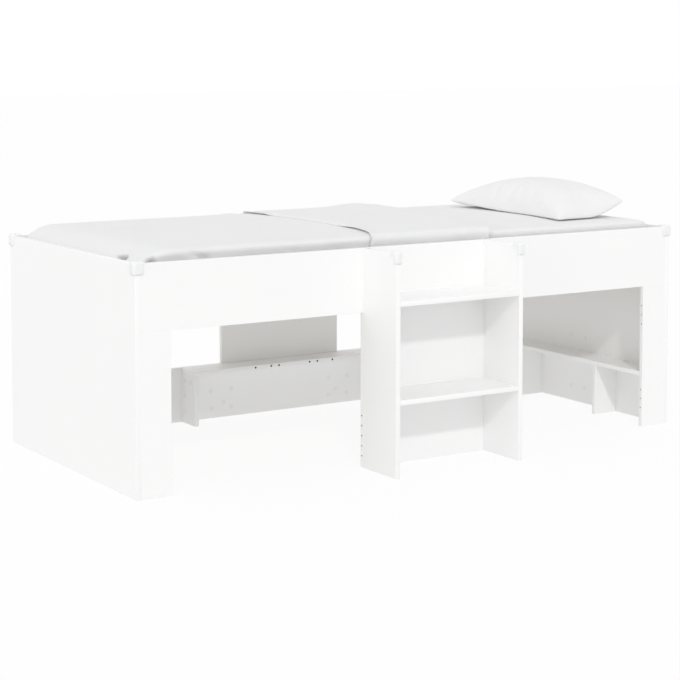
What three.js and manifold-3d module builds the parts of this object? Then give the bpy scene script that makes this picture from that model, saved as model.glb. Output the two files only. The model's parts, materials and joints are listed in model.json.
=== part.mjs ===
// A low loft bed of white boards: two end panels, railings, corner legs, a step bookcase that stands out
// in front, a U of low shelves under the bed, a slatted base, and loose bedding.
// Millimetres. X runs along the bed from its middle, Y from the front face of the bed box to the rear, Z up.
import * as THREE from 'three';
import { mergeVertices } from 'three/addons/utils/BufferGeometryUtils.js';
import Module from 'manifold-3d';

const wasm = await Module();
wasm.setup();

// The bed box is made round its mattress
const MATTRESS_LENGTH = 2000;
const MATTRESS_WIDTH = 880;
const MATTRESS_THICKNESS = 161.6;
const MATTRESS_END_ROOM = 12.5;
const MATTRESS_SIDE_ROOM = 15;
const HEIGHT = 694;
const BOARD = 15;
const RAIL_HEIGHT = 203;
const LEG_WIDTH = 100;

// The step bookcase in the middle of the front
const STEPS_WIDTH = 485;
const STEPS_REACH = 185;
const TOP_STEP_HEIGHT = 545.5;
const MIDDLE_STEP_HEIGHT = 241.5;

// The low shelves along the rear and along both ends
const SHELF_HEIGHT = 192.5;
const REAR_SHELF_DEPTH = 100;
const REAR_DIVIDER_FROM_MIDDLE = 395;
const END_DIVIDER_FROM_FRONT = 257.5;
const END_DIVIDER_FROM_REAR = 257.5;

// The slatted base
const CLEAT_WIDTH = 28;
const CLEAT_HEIGHT = 40;
const CLEAT_ABOVE_RAIL_EDGE = 8;
const SLAT_COUNT = 13;
const SLAT_WIDTH = 68;
const SLAT_THICKNESS = 17;
const SLAT_END_GAP = 2;
const SLAT_FROM_END = 60;

// Rows of holes for fittings, on the usual pitch of cabinet boards
const HOLE_PITCH = 32;
const HOLE_RADIUS = 2.5;
const HOLE_DEPTH = 9;
const HOLE_SIDES = 12;
const LEG_LOW_HOLES_HEIGHT = 65.5;
const LEG_HIGH_HOLES_HEIGHT = 359;
const LEG_HOLE_COUNT = 3;
const STEPS_HOLES_HEIGHT = 36.5;
const STEPS_HOLE_COUNT = 5;
const SHELF_HOLE_STEPS = [-5, -3, -2, 2, 3, 5];

// Soft corner guards on the top corners
const GUARD_WALL = 6;
const GUARD_REACH = 30;
const GUARD_DROP = 34;
const GUARD_ROUNDING = 6;
const GUARD_CHEEK = 5;
const GUARD_LEG = 13;
const FITTED_GAP = 0.3;
const ARC_STEPS = 5;

// Mattress, quilt and pillow
const MATTRESS_CORNER = 62;
const MATTRESS_TOP_ROUNDING = 42;
const MATTRESS_BASE_ROUNDING = 12;
const MATTRESS_DRAW_IN = 3;
const MATTRESS_CROWN = 5;
const SOFT_GAP = 0.4;
const QUILT_GAP = 1;
const QUILT_SIDE = 9;
const QUILT_RISE = 12;
const QUILT_FOLD_RISE = 19;
const QUILT_DROP = 63;
const QUILT_END_TO_FOLD_FRONT = 730;
const QUILT_END_TO_FOLD_REAR = 595;
const QUILT_FLAP_AT_SIDES = 455;
const QUILT_FLAP_AT_MIDDLE = 400;
const PILLOW_LENGTH = 660;
const PILLOW_WIDTH = 350;
const PILLOW_RISE = 100;
const PILLOW_SAG = 25;
const PILLOW_DRAW_IN = 18;
const PILLOW_FROM_END = 216;
const PILLOW_FROM_FRONT = 445;
const PILLOW_TURN_DEGREES = -3;
const PILLOW_STEPS = 22;
const CUT_OVERRUN = 40;

// Places that follow from the sizes
const mattressEndX = MATTRESS_LENGTH / 2;
const innerEndX = mattressEndX + MATTRESS_END_ROOM;
const endX = innerEndX + BOARD;
const rearFace = BOARD + MATTRESS_WIDTH + 2 * MATTRESS_SIDE_ROOM;
const width = rearFace + BOARD;
const railBottom = HEIGHT - RAIL_HEIGHT;
const stepsX = STEPS_WIDTH / 2;
const shelfUnderside = SHELF_HEIGHT - BOARD;
const rearShelfFront = rearFace - REAR_SHELF_DEPTH;
const rearShelfEndX = REAR_DIVIDER_FROM_MIDDLE + BOARD / 2;
const endShelfX = innerEndX - LEG_WIDTH;
const cleatBottom = railBottom + CLEAT_ABOVE_RAIL_EDGE;
const cleatTop = cleatBottom + CLEAT_HEIGHT;
const slatTop = cleatTop + SLAT_THICKNESS;
const bedMiddleY = width / 2;
const mattressBottom = slatTop + SOFT_GAP;
const mattressTop = mattressBottom + MATTRESS_THICKNESS;
const quiltHem = mattressTop - QUILT_DROP;

const whiteBoard = { color: 0xf5f5f3, roughness: 0.45, metalness: 0 };
const paleWood = { color: 0xd9c29a, roughness: 0.7, metalness: 0 };
const clearPlastic = { color: 0xe9eaec, roughness: 0.3, metalness: 0 };
const greyCloth = { color: 0xdadbde, roughness: 0.95, metalness: 0 };
const whiteCloth = { color: 0xf0f0f2, roughness: 0.95, metalness: 0 };

// The bed box is built from its own front face; the whole bed is then centred on its footprint.
const bed = new THREE.Group();
bed.position.y = (STEPS_REACH - width) / 2;

function addMesh(name, geometry, look) {
  const mesh = new THREE.Mesh(geometry, new THREE.MeshStandardMaterial(look));
  mesh.name = name;
  bed.add(mesh);
  return mesh;
}

function boxBetween(low, high) {
  const size = high.map((value, axis) => value - low[axis]);
  const box = new THREE.BoxGeometry(...size);
  box.translate(...low.map((value, axis) => value + size[axis] / 2));
  return box;
}

function toSolid(geometry) {
  const bare = geometry.clone();
  bare.deleteAttribute('normal');
  bare.deleteAttribute('uv');
  const merged = mergeVertices(bare);
  return new wasm.Manifold(new wasm.Mesh({
    numProp: 3,
    vertProperties: new Float32Array(merged.attributes.position.array),
    triVerts: new Uint32Array(merged.index.array),
  }));
}

function toGeometry(solid) {
  const mesh = solid.getMesh();
  const geometry = new THREE.BufferGeometry();
  geometry.setAttribute('position', new THREE.BufferAttribute(new Float32Array(mesh.vertProperties), 3));
  geometry.setIndex(new THREE.BufferAttribute(new Uint32Array(mesh.triVerts), 1));
  geometry.computeVertexNormals();
  return geometry;
}

function board(name, low, high) {
  return addMesh(name, boxBetween(low, high), whiteBoard);
}

// A board with blind holes; each hole has the point at its mouth and the direction that it runs in.
function drilledBoard(name, low, high, mouths, direction) {
  let solid = toSolid(boxBetween(low, high));
  const turn = new THREE.Quaternion().setFromUnitVectors(new THREE.Vector3(0, 1, 0), direction);
  for (const mouth of mouths) {
    const hole = new THREE.CylinderGeometry(HOLE_RADIUS, HOLE_RADIUS, 2 * HOLE_DEPTH, HOLE_SIDES);
    hole.applyQuaternion(turn);
    hole.translate(mouth.x, mouth.y, mouth.z);
    solid = solid.subtract(toSolid(hole));
  }
  return addMesh(name, toGeometry(solid), whiteBoard);
}

function rowOfHoles(x, y, firstHeight, count) {
  return Array.from({ length: count }, (_, i) => new THREE.Vector3(x, y, firstHeight + i * HOLE_PITCH));
}

// End panels and the corner legs, alike at both ends
for (const [side, sign] of [['left', -1], ['right', 1]]) {
  const span = (a, b) => [Math.min(sign * a, sign * b), Math.max(sign * a, sign * b)];
  const [panelLow, panelHigh] = span(innerEndX, endX);
  board(`${side}_end_panel`, [panelLow, 0, 0], [panelHigh, width, HEIGHT]);

  const [legLow, legHigh] = span(endShelfX, innerEndX);
  const holes = [LEG_LOW_HOLES_HEIGHT, LEG_HIGH_HOLES_HEIGHT].flatMap(
    (height) => rowOfHoles(sign * endShelfX, BOARD / 2, height, LEG_HOLE_COUNT));
  drilledBoard(`front_leg_${side}`, [legLow, 0, 0], [legHigh, BOARD, railBottom], holes,
    new THREE.Vector3(sign, 0, 0));
  board(`rear_leg_${side}`, [legLow, rearFace, SHELF_HEIGHT], [legHigh, width, railBottom]);

  // The end shelf ties the front leg to the rear lower panel and stands on two dividers
  board(`${side}_end_shelf`, [legLow, BOARD, shelfUnderside], [legHigh, rearFace, SHELF_HEIGHT]);
  const dividerFronts = [END_DIVIDER_FROM_FRONT - BOARD / 2, width - END_DIVIDER_FROM_REAR - BOARD / 2];
  for (const [place, front] of [['front', dividerFronts[0]], ['rear', dividerFronts[1]]]) {
    board(`${side}_end_shelf_divider_${place}`, [legLow, front, 0], [legHigh, front + BOARD, shelfUnderside]);
  }

  const [dividerLow, dividerHigh] = span(rearShelfEndX - BOARD, rearShelfEndX);
  board(`rear_shelf_divider_${side}`, [dividerLow, rearShelfFront, 0], [dividerHigh, rearFace, shelfUnderside]);

  // The front rail between the end panel and the step bookcase
  const [railLow, railHigh] = span(stepsX, innerEndX);
  board(`front_rail_${side}`, [railLow, 0, railBottom], [railHigh, BOARD, HEIGHT]);

  // One side of the step bookcase: it runs from the floor to the top edge
  const [stepsLow, stepsHigh] = span(stepsX - BOARD, stepsX);
  drilledBoard(`step_unit_side_${side}`, [stepsLow, -STEPS_REACH, 0], [stepsHigh, BOARD, HEIGHT],
    rowOfHoles(sign * stepsX, BOARD / 2, STEPS_HOLES_HEIGHT, STEPS_HOLE_COUNT), new THREE.Vector3(-sign, 0, 0));
}

// The steps, the boards that close their backs, and the rail above them
const stepsInnerX = stepsX - BOARD;
const topStepUnderside = TOP_STEP_HEIGHT - BOARD;
const middleStepUnderside = MIDDLE_STEP_HEIGHT - BOARD;
board('top_step', [-stepsInnerX, -STEPS_REACH, topStepUnderside], [stepsInnerX, 0, TOP_STEP_HEIGHT]);
board('middle_step', [-stepsInnerX, -STEPS_REACH, middleStepUnderside], [stepsInnerX, 0, MIDDLE_STEP_HEIGHT]);
board('front_rail_middle', [-stepsInnerX, 0, railBottom], [stepsInnerX, BOARD, HEIGHT]);
board('step_unit_upper_back', [-stepsInnerX, 0, MIDDLE_STEP_HEIGHT], [stepsInnerX, BOARD, railBottom]);
board('step_unit_lower_back', [-stepsInnerX, 0, 0], [stepsInnerX, BOARD, MIDDLE_STEP_HEIGHT]);

// The rear of the bed box
board('rear_rail', [-innerEndX, rearFace, railBottom], [innerEndX, width, HEIGHT]);
board('rear_centre_panel', [-stepsX, rearFace, SHELF_HEIGHT], [stepsX, width, railBottom]);
board('rear_lower_panel', [-innerEndX, rearFace, 0], [innerEndX, width, SHELF_HEIGHT]);
// The rear shelf stands against the lower panel and ends flush with its two dividers
drilledBoard('rear_shelf', [-rearShelfEndX, rearShelfFront, shelfUnderside], [rearShelfEndX, rearFace, SHELF_HEIGHT],
  SHELF_HOLE_STEPS.map((step) => new THREE.Vector3(step * HOLE_PITCH, rearShelfFront, shelfUnderside + BOARD / 2)),
  new THREE.Vector3(0, 1, 0));

// The slatted base: a cleat along each rail carries the slats
addMesh('slat_cleat_front',
  boxBetween([-innerEndX, BOARD, cleatBottom], [innerEndX, BOARD + CLEAT_WIDTH, cleatTop]), paleWood);
addMesh('slat_cleat_rear',
  boxBetween([-innerEndX, rearFace - CLEAT_WIDTH, cleatBottom], [innerEndX, rearFace, cleatTop]), paleWood);
const firstSlatX = -innerEndX + SLAT_FROM_END;
const slatPitch = -2 * firstSlatX / (SLAT_COUNT - 1);
for (let i = 0; i < SLAT_COUNT; i += 1) {
  const x = firstSlatX + i * slatPitch;
  const low = [x - SLAT_WIDTH / 2, BOARD + SLAT_END_GAP, cleatTop];
  const high = [x + SLAT_WIDTH / 2, rearFace - SLAT_END_GAP, slatTop];
  addMesh(`slat_${String(i + 1).padStart(2, '0')}`, boxBetween(low, high), paleWood);
}

// Outline of a rectangle with round corners, drawn anticlockwise round its middle
function roundedOutline(halfX, halfY, radius, steps) {
  const points = [];
  const corners = [[1, 1], [-1, 1], [-1, -1], [1, -1]];
  corners.forEach(([signX, signY], quarter) => {
    for (let i = 0; i <= steps; i += 1) {
      const angle = (quarter + i / steps) * Math.PI / 2;
      points.push([signX * (halfX - radius) + radius * Math.cos(angle),
        signY * (halfY - radius) + radius * Math.sin(angle)]);
    }
  });
  return points;
}

// A guard on a corner of the bed box: a soft shell over the top, the end and the long face
function cornerGuard(name, signX, signY) {
  const faceX = signX * endX;
  const faceY = signY > 0 ? width : 0;
  const reach = GUARD_REACH + GUARD_WALL;
  const plan = new THREE.Shape(roundedOutline(reach / 2, reach / 2, GUARD_ROUNDING, ARC_STEPS)
    .map(([x, y]) => new THREE.Vector2(x, y)));
  const shell = new THREE.ExtrudeGeometry(plan, { depth: GUARD_DROP + GUARD_WALL, bevelEnabled: false });
  shell.translate(faceX - signX * (reach / 2 - GUARD_WALL), faceY - signY * (reach / 2 - GUARD_WALL),
    HEIGHT - GUARD_DROP);
  const room = boxBetween([0, 0, 0], [endX + FITTED_GAP, width / 2 + FITTED_GAP, HEIGHT + FITTED_GAP]);
  if (signX < 0) room.translate(-endX - FITTED_GAP, 0, 0);
  if (signY > 0) room.translate(0, width / 2, 0);
  if (signY < 0) room.translate(0, -FITTED_GAP, 0);
  addMesh(name, toGeometry(toSolid(shell).subtract(toSolid(room))), clearPlastic);
}
cornerGuard('corner_guard_front_left', -1, -1);
cornerGuard('corner_guard_front_right', 1, -1);
cornerGuard('corner_guard_rear_left', -1, 1);
cornerGuard('corner_guard_rear_right', 1, 1);

// A guard on the top front corner of a bookcase side: an angle with a cheek on each face of the board
function stepsGuard(name, sign) {
  const front = -STEPS_REACH - GUARD_WALL;
  const top = HEIGHT + GUARD_WALL;
  const inner = sign * (stepsX - BOARD) - sign * GUARD_CHEEK;
  const outer = sign * stepsX + sign * GUARD_CHEEK;
  const lowX = Math.min(inner, outer);
  const highX = Math.max(inner, outer);
  const body = boxBetween([lowX, front, HEIGHT - GUARD_DROP], [highX, front + GUARD_REACH + GUARD_WALL, top]);
  const notch = boxBetween([lowX - CUT_OVERRUN, front + GUARD_LEG, HEIGHT - GUARD_DROP - CUT_OVERRUN],
    [highX + CUT_OVERRUN, front + GUARD_REACH + CUT_OVERRUN, top - GUARD_LEG]);
  const boardRoom = boxBetween(
    [lowX + GUARD_CHEEK - FITTED_GAP, -STEPS_REACH - FITTED_GAP, HEIGHT - GUARD_DROP - CUT_OVERRUN],
    [highX - GUARD_CHEEK + FITTED_GAP, CUT_OVERRUN, HEIGHT + FITTED_GAP]);
  const solid = toSolid(body).subtract(toSolid(notch)).subtract(toSolid(boardRoom));
  addMesh(name, toGeometry(solid), clearPlastic);
}
stepsGuard('corner_guard_steps_left', -1);
stepsGuard('corner_guard_steps_right', 1);

// A closed loft through rounded outlines: each ring has how far it is drawn in and its height
function loft(halfX, halfY, radius, rings) {
  const count = 4 * (ARC_STEPS + 1);
  const points = [];
  for (const [drawIn, z] of rings) {
    const ringRadius = Math.max(radius - drawIn, MATTRESS_BASE_ROUNDING);
    for (const [x, y] of roundedOutline(halfX - drawIn, halfY - drawIn, ringRadius, ARC_STEPS)) {
      points.push(x, y, z);
    }
  }
  const faces = [];
  for (let ring = 0; ring < rings.length - 1; ring += 1) {
    for (let i = 0; i < count; i += 1) {
      const next = (i + 1) % count;
      const a = ring * count + i;
      const b = ring * count + next;
      faces.push(a, b, b + count, a, b + count, a + count);
    }
  }
  const lastRing = (rings.length - 1) * count;
  for (let i = 1; i < count - 1; i += 1) {
    faces.push(0, i + 1, i);
    faces.push(lastRing, lastRing + i, lastRing + i + 1);
  }
  const geometry = new THREE.BufferGeometry();
  geometry.setAttribute('position', new THREE.Float32BufferAttribute(points, 3));
  geometry.setIndex(faces);
  geometry.computeVertexNormals();
  return geometry;
}

// Rings of the rounded top edge and of the crown inside it, for a cushion that ends at this height
const crownShares = [0.25, 0.55, 0.85];
function topRings(top, rounding, crown, halfWidth) {
  const rings = [];
  for (let i = 0; i <= ARC_STEPS; i += 1) {
    const angle = i / ARC_STEPS * Math.PI / 2;
    rings.push([rounding * (1 - Math.cos(angle)), top - rounding * (1 - Math.sin(angle))]);
  }
  for (const share of crownShares) {
    rings.push([rounding + share * (halfWidth - rounding), top + crown * Math.sin(share * Math.PI / 2)]);
  }
  return rings;
}

const mattressHalfY = MATTRESS_WIDTH / 2;
const mattressMiddleZ = mattressBottom + MATTRESS_THICKNESS / 2;
const mattress = loft(mattressEndX, mattressHalfY, MATTRESS_CORNER, [
  [MATTRESS_BASE_ROUNDING, mattressBottom],
  [0, mattressBottom + MATTRESS_BASE_ROUNDING],
  [MATTRESS_DRAW_IN, mattressMiddleZ],
  ...topRings(mattressTop, MATTRESS_TOP_ROUNDING, MATTRESS_CROWN, mattressHalfY),
]);
mattress.translate(0, bedMiddleY, 0);
addMesh('mattress', mattress, greyCloth);

// The quilt lies over the mattress from the foot end to the fold, and turns back on itself
function overMattress(spread, rise) {
  const rounding = MATTRESS_TOP_ROUNDING + rise;
  const form = loft(mattressEndX + spread, mattressHalfY + spread, MATTRESS_CORNER + spread, [
    [0, quiltHem - CUT_OVERRUN],
    ...topRings(mattressTop + rise, rounding, MATTRESS_CROWN, mattressHalfY + spread),
  ]);
  form.translate(0, bedMiddleY, 0);
  return toSolid(form);
}

function planCut(points, low, high) {
  const shape = new THREE.Shape(points.map(([x, y]) => new THREE.Vector2(x, y)));
  const cut = new THREE.ExtrudeGeometry(shape, { depth: high - low, bevelEnabled: false });
  cut.translate(0, 0, low);
  return toSolid(cut);
}

// A line across the bed that bows by its middle, as a list of plan points from front to rear
function bowedLine(frontX, middleX, rearX) {
  const curve = new THREE.QuadraticBezierCurve(new THREE.Vector2(frontX, 0),
    new THREE.Vector2(2 * middleX - (frontX + rearX) / 2, bedMiddleY), new THREE.Vector2(rearX, width));
  return curve.getPoints(2 * ARC_STEPS).map((point) => [point.x, point.y]);
}
const foldFrontX = mattressEndX - QUILT_END_TO_FOLD_FRONT;
const foldRearX = mattressEndX - QUILT_END_TO_FOLD_REAR;
const flapSideX = foldFrontX - QUILT_FLAP_AT_SIDES;
const foldLine = [[foldFrontX, 0], [foldRearX, width]];
const flapLine = bowedLine(flapSideX, foldFrontX - QUILT_FLAP_AT_MIDDLE, flapSideX);
const quiltArea = planCut([[-innerEndX, 0], ...foldLine, [-innerEndX, width]], quiltHem, 2 * HEIGHT);
const flapArea = planCut([...foldLine, ...flapLine.reverse()], quiltHem, 2 * HEIGHT);
const quilt = overMattress(QUILT_SIDE, QUILT_RISE).intersect(quiltArea)
  .add(overMattress(QUILT_SIDE, QUILT_FOLD_RISE).intersect(flapArea))
  .subtract(overMattress(QUILT_GAP, QUILT_GAP));
addMesh('quilt', toGeometry(quilt), greyCloth);

// The pillow: a filled case whose sides draw in between its four corners
function pillowGeometry() {
  const points = [];
  const faces = [];
  const side = PILLOW_STEPS + 1;
  const at = (layer, i, j) => layer * side * side + i * side + j;
  for (const layer of [0, 1]) {
    for (let i = 0; i < side; i += 1) {
      for (let j = 0; j < side; j += 1) {
        const u = Math.sin((i / PILLOW_STEPS - 0.5) * Math.PI);
        const v = Math.sin((j / PILLOW_STEPS - 0.5) * Math.PI);
        const fill = Math.sqrt((1 - u * u) * (1 - v * v));
        points.push(u * (PILLOW_WIDTH / 2 - PILLOW_DRAW_IN * (1 - v * v)),
          v * (PILLOW_LENGTH / 2 - PILLOW_DRAW_IN * (1 - u * u)),
          layer === 1 ? PILLOW_RISE * fill : -PILLOW_SAG * Math.min(1, 2 * fill));
      }
    }
  }
  for (let i = 0; i < PILLOW_STEPS; i += 1) {
    for (let j = 0; j < PILLOW_STEPS; j += 1) {
      faces.push(at(1, i, j), at(1, i + 1, j), at(1, i + 1, j + 1));
      faces.push(at(1, i, j), at(1, i + 1, j + 1), at(1, i, j + 1));
      faces.push(at(0, i, j), at(0, i + 1, j + 1), at(0, i + 1, j));
      faces.push(at(0, i, j), at(0, i, j + 1), at(0, i + 1, j + 1));
    }
  }
  const geometry = new THREE.BufferGeometry();
  geometry.setAttribute('position', new THREE.Float32BufferAttribute(points, 3));
  geometry.setIndex(faces);
  return mergeVertices(geometry);
}
const pillow = addMesh('pillow', pillowGeometry(), whiteCloth);
pillow.geometry.computeVertexNormals();
pillow.rotation.z = THREE.MathUtils.degToRad(PILLOW_TURN_DEGREES);
pillow.position.set(innerEndX - PILLOW_FROM_END, PILLOW_FROM_FRONT,
  mattressTop + MATTRESS_CROWN + SOFT_GAP + PILLOW_SAG);

export default bed;
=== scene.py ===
import json
import math

import bmesh
import bpy
import numpy as np
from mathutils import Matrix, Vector, noise


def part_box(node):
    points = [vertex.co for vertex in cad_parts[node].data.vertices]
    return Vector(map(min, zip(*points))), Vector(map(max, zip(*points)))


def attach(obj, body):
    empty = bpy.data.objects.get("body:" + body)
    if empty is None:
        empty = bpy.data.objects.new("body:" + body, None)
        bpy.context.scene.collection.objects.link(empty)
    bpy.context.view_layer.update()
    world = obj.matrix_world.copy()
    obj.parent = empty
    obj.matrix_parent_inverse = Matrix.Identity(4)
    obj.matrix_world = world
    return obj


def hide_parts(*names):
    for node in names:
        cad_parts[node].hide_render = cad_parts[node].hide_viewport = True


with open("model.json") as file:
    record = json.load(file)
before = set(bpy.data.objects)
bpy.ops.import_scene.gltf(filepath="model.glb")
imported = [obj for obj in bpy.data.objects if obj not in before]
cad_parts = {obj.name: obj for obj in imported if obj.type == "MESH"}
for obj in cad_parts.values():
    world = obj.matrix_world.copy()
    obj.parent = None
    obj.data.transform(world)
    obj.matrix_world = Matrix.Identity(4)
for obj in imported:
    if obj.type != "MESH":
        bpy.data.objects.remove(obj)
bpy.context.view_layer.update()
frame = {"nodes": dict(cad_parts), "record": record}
scene = bpy.context.scene
print("frame loaded:", len(frame["nodes"]), "nodes")

# Camera
cameraFacts = {"place": (-3.29684, -5.07747, 1.32098), "yaw": 32.2785, "pitch": 4.565,
               "lens": 95.964, "shift": -0.22, "far": 200}
bpy.ops.object.camera_add(
    location=cameraFacts["place"],
    rotation=(math.radians(90 - cameraFacts["pitch"]), 0, -math.radians(cameraFacts["yaw"])))
camera = bpy.context.object
camera.name = "photoCamera"
camera.data.lens = cameraFacts["lens"]
camera.data.shift_y = cameraFacts["shift"]
camera.data.clip_end = cameraFacts["far"]
scene.camera = camera
scene.view_settings.view_transform = "Standard"


# Materials: a Signal is one value or colour on its way through the nodes
class Signal:
    def __init__(self, tree, socket=None):
        self.tree, self.socket = tree, socket

    def node(self, kind, settings=None, inputs=None, output=0):
        made = self.tree.nodes.new("ShaderNode" + kind)
        for name, value in (settings or {}).items():
            setattr(made, name, value)
        for name, value in (inputs or {}).items():
            if isinstance(value, Signal):
                self.tree.links.new(value.socket, made.inputs[name])
            else:
                made.inputs[name].default_value = value
        return Signal(self.tree, made.outputs[output])

    def maths(self, operation, *terms):
        return self.node("Math", {"operation": operation}, dict(enumerate(terms)))

    def __add__(self, other): return self.maths("ADD", self, other)
    def __radd__(self, other): return self.maths("ADD", other, self)
    def __sub__(self, other): return self.maths("SUBTRACT", self, other)
    def __rsub__(self, other): return self.maths("SUBTRACT", other, self)
    def __mul__(self, other): return self.maths("MULTIPLY", self, other)
    def __rmul__(self, other): return self.maths("MULTIPLY", other, self)

    def noisy(self, size, detail=2.0):  # soft noise over this place
        return self.node("TexNoise", None, {"Vector": self, "Scale": size, "Detail": detail})

    def mixed(self, first, second):  # two colours mixed by this value
        return self.node("Mix", {"data_type": "RGBA"}, {0: self, 6: first, 7: second}, output=2)


def newMaterial(name, constants=None, coordinates="Object"):
    material = bpy.data.materials.new(name)
    material.use_nodes = True
    tree = material.node_tree
    shader = tree.nodes["Principled BSDF"]
    for socket, value in (constants or {}).items():
        shader.inputs[socket].default_value = value
    return material, shader, Signal(tree).node("TexCoord", output=coordinates)


def feed(shader, socket, signal):
    signal.tree.links.new(signal.socket, shader.inputs[socket])


def tint(colour, share):
    return tuple(min(1, channel * share) for channel in colour[:3]) + (1,)


def mottled(name, constants, size, first, second):  # a plain material whose colour drifts a little
    material, shader, place = newMaterial(name, constants)
    cloud = place.noisy(size)
    feed(shader, "Base Color", cloud.mixed(first, second))
    return material, shader, cloud


def feedBump(shader, strength, depth, height):
    feed(shader, "Normal", height.node("Bump", None, {"Strength": strength, "Distance": depth, "Height": height}))


melamine = {
    "white": (0.965, 0.965, 0.962), "roughness": 0.42, "gloss": 1.48, "mottling": 0.012, "cloud size": 2.3,
    "peel size": 700, "peel": 0.12, "peel depth": 0.0002, "uneven gloss": 0.1,
    "band tint": 1.01, "band roughness": 0.34, "band peel": 0.04, "band gloss": 1.7,
}


def boardFinish(name, white, roughness, peel, gloss=melamine["gloss"]):
    facts = melamine
    material, shader, place = newMaterial(name, {"Roughness": roughness, "IOR": gloss})
    cloud, fine = place.noisy(facts["cloud size"], 3.0), place.noisy(facts["peel size"])
    feed(shader, "Base Color", cloud.mixed(tint(white, 1 - facts["mottling"]), tint(white, 1 + facts["mottling"])))
    feed(shader, "Roughness", roughness - facts["uneven gloss"] / 2 + facts["uneven gloss"] * fine)
    feedBump(shader, peel, facts["peel depth"], fine)
    return material


boardFace = boardFinish("whiteMelamine", melamine["white"], melamine["roughness"], melamine["peel"])
boardBand = boardFinish("whiteEdgeBand", tint(melamine["white"], melamine["band tint"]), melamine["band roughness"],
                        melamine["band peel"], melamine["band gloss"])

# What shows inside the fitting holes: raw chipboard, or a grey lining
holeLook = {"chip size": 420.0, "chip tone": (0.2, 0.15, 0.1, 1), "chip mix": 0.5, "chip roughness": 0.9,
            "lining": (0.5, 0.5, 0.49), "lining roughness": 0.6, "lining peel": 0.1}
chipboard, chipShader, chipPlace = newMaterial("rawChipboard", {"Roughness": holeLook["chip roughness"]})
chips = chipPlace.node("TexVoronoi", None, {"Vector": chipPlace, "Scale": holeLook["chip size"]}, output="Color")
feed(chipShader, "Base Color", chips.node("Mix", {"data_type": "RGBA", "blend_type": "MULTIPLY"},
                                          {0: holeLook["chip mix"], 6: holeLook["chip tone"], 7: chips}, output=2))
holeLining = boardFinish("greyHoleLining", holeLook["lining"], holeLook["lining roughness"], holeLook["lining peel"])

pineFacts = {
    "roughness": 0.62, "gloss": 1.45, "across grain": 9, "along grain": 0.9, "ring size": 2.6, "ring wander": 7.0,
    "ring detail": 1.4, "ring share": 0.75, "pore size": 34.0, "pore share": 0.35, "knot size": 1.1,
    "knot reach": (0.02, 0.1), "pale": (0.79, 0.755, 0.695, 1), "brown": (0.7, 0.655, 0.58, 1),
    "knot": (0.42, 0.31, 0.22, 1), "smoothest": 0.55, "uneven gloss": 0.2, "bump": 0.25, "bump depth": 0.0006,
}


def woodFinish(name, stretch):
    facts = pineFacts
    material, shader, place = newMaterial(name, {"Roughness": facts["roughness"], "IOR": facts["gloss"]})
    along = place.node("Mapping", None, {"Vector": place, "Scale": stretch})
    rings = place.node("TexWave", {"wave_type": "BANDS", "bands_direction": "DIAGONAL"},
                       {"Vector": along, "Scale": facts["ring size"], "Distortion": facts["ring wander"],
                        "Detail": 3.0, "Detail Scale": facts["ring detail"]})
    pores = along.noisy(facts["pore size"], 4.0)
    knots = place.node("TexVoronoi", None, {"Vector": along, "Scale": facts["knot size"]}, output="Distance")
    near, far = facts["knot reach"]
    knot = knots.node("MapRange", None, {"Value": knots, "From Min": near, "From Max": far,
                                         "To Min": 1.0, "To Max": 0.0})
    grain = rings * facts["ring share"] + pores * facts["pore share"]
    feed(shader, "Base Color", knot.mixed(grain.mixed(facts["pale"], facts["brown"]), facts["knot"]))
    feed(shader, "Roughness", facts["smoothest"] + facts["uneven gloss"] * pores)
    feedBump(shader, facts["bump"], facts["bump depth"], grain)
    return material


tight, drawn = pineFacts["across grain"], pineFacts["along grain"]
slatWood = woodFinish("planedPineAcross", (tight, drawn, tight))
cleatWood = woodFinish("planedPineAlong", (drawn, tight, tight))

zincLook = {"roughness": 0.34, "cloud size": 300.0, "dark": (0.62, 0.62, 0.6, 1), "light": (0.78, 0.78, 0.77, 1),
            "smoothest": 0.26, "uneven gloss": 0.16}
zinc, zincShader, zincCloud = mottled("zincScrew", {"Metallic": 1.0, "Roughness": zincLook["roughness"]},
                                      zincLook["cloud size"], zincLook["dark"], zincLook["light"])
feed(zincShader, "Roughness", zincLook["smoothest"] + zincLook["uneven gloss"] * zincCloud)

capLook = {"roughness": 0.4, "cloud size": 90.0, "dark": (0.885, 0.885, 0.88, 1), "light": (0.905, 0.905, 0.9, 1)}
capPlastic = mottled("capPlastic", {"Roughness": capLook["roughness"]},
                     capLook["cloud size"], capLook["dark"], capLook["light"])[0]

guardLook = {"roughness": 0.28, "gloss": 1.46, "cloud size": 60.0, "rim blend": 0.3, "middle": (0.98, 0.982, 0.985, 1),
             "rim": (0.9, 0.91, 0.92, 1), "cover": 0.9, "rim cover": 0.08, "smoothest": 0.22, "uneven gloss": 0.14}
guardPlastic, guardShader, guardPlace = newMaterial(
    "clearGuardPlastic", {"Roughness": guardLook["roughness"], "IOR": guardLook["gloss"]})
guardCloud = guardPlace.noisy(guardLook["cloud size"])
# the colour turns from the middle tone to the darker rim tone where the surface turns away from view: painted shade
# along the guard's edges; the cover also thickens there
rim = guardPlace.node("LayerWeight", None, {"Blend": guardLook["rim blend"]}, output="Facing")
feed(guardShader, "Base Color", rim.mixed(guardLook["middle"], guardLook["rim"]))
feed(guardShader, "Alpha", guardLook["cover"] + guardLook["rim cover"] * rim)
feed(guardShader, "Roughness", guardLook["smoothest"] + guardLook["uneven gloss"] * guardCloud)

clothFacts = {
    "grey": (0.862, 0.862, 0.867), "white": (0.872, 0.872, 0.877), "ticking": (0.7, 0.7, 0.695),
    "roughness": 0.92, "smoothest": 0.86, "uneven gloss": 0.1, "sheen roughness": 0.4,
    "slub size": 60.0, "cloud size": 3.0, "bump depth": 0.0004,
    "tone shares": (0.5, 0.4, 0.1), "height shares": (0.5, 0.8),  # slubs, cloud and weave, then weave and slubs
}


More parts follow.
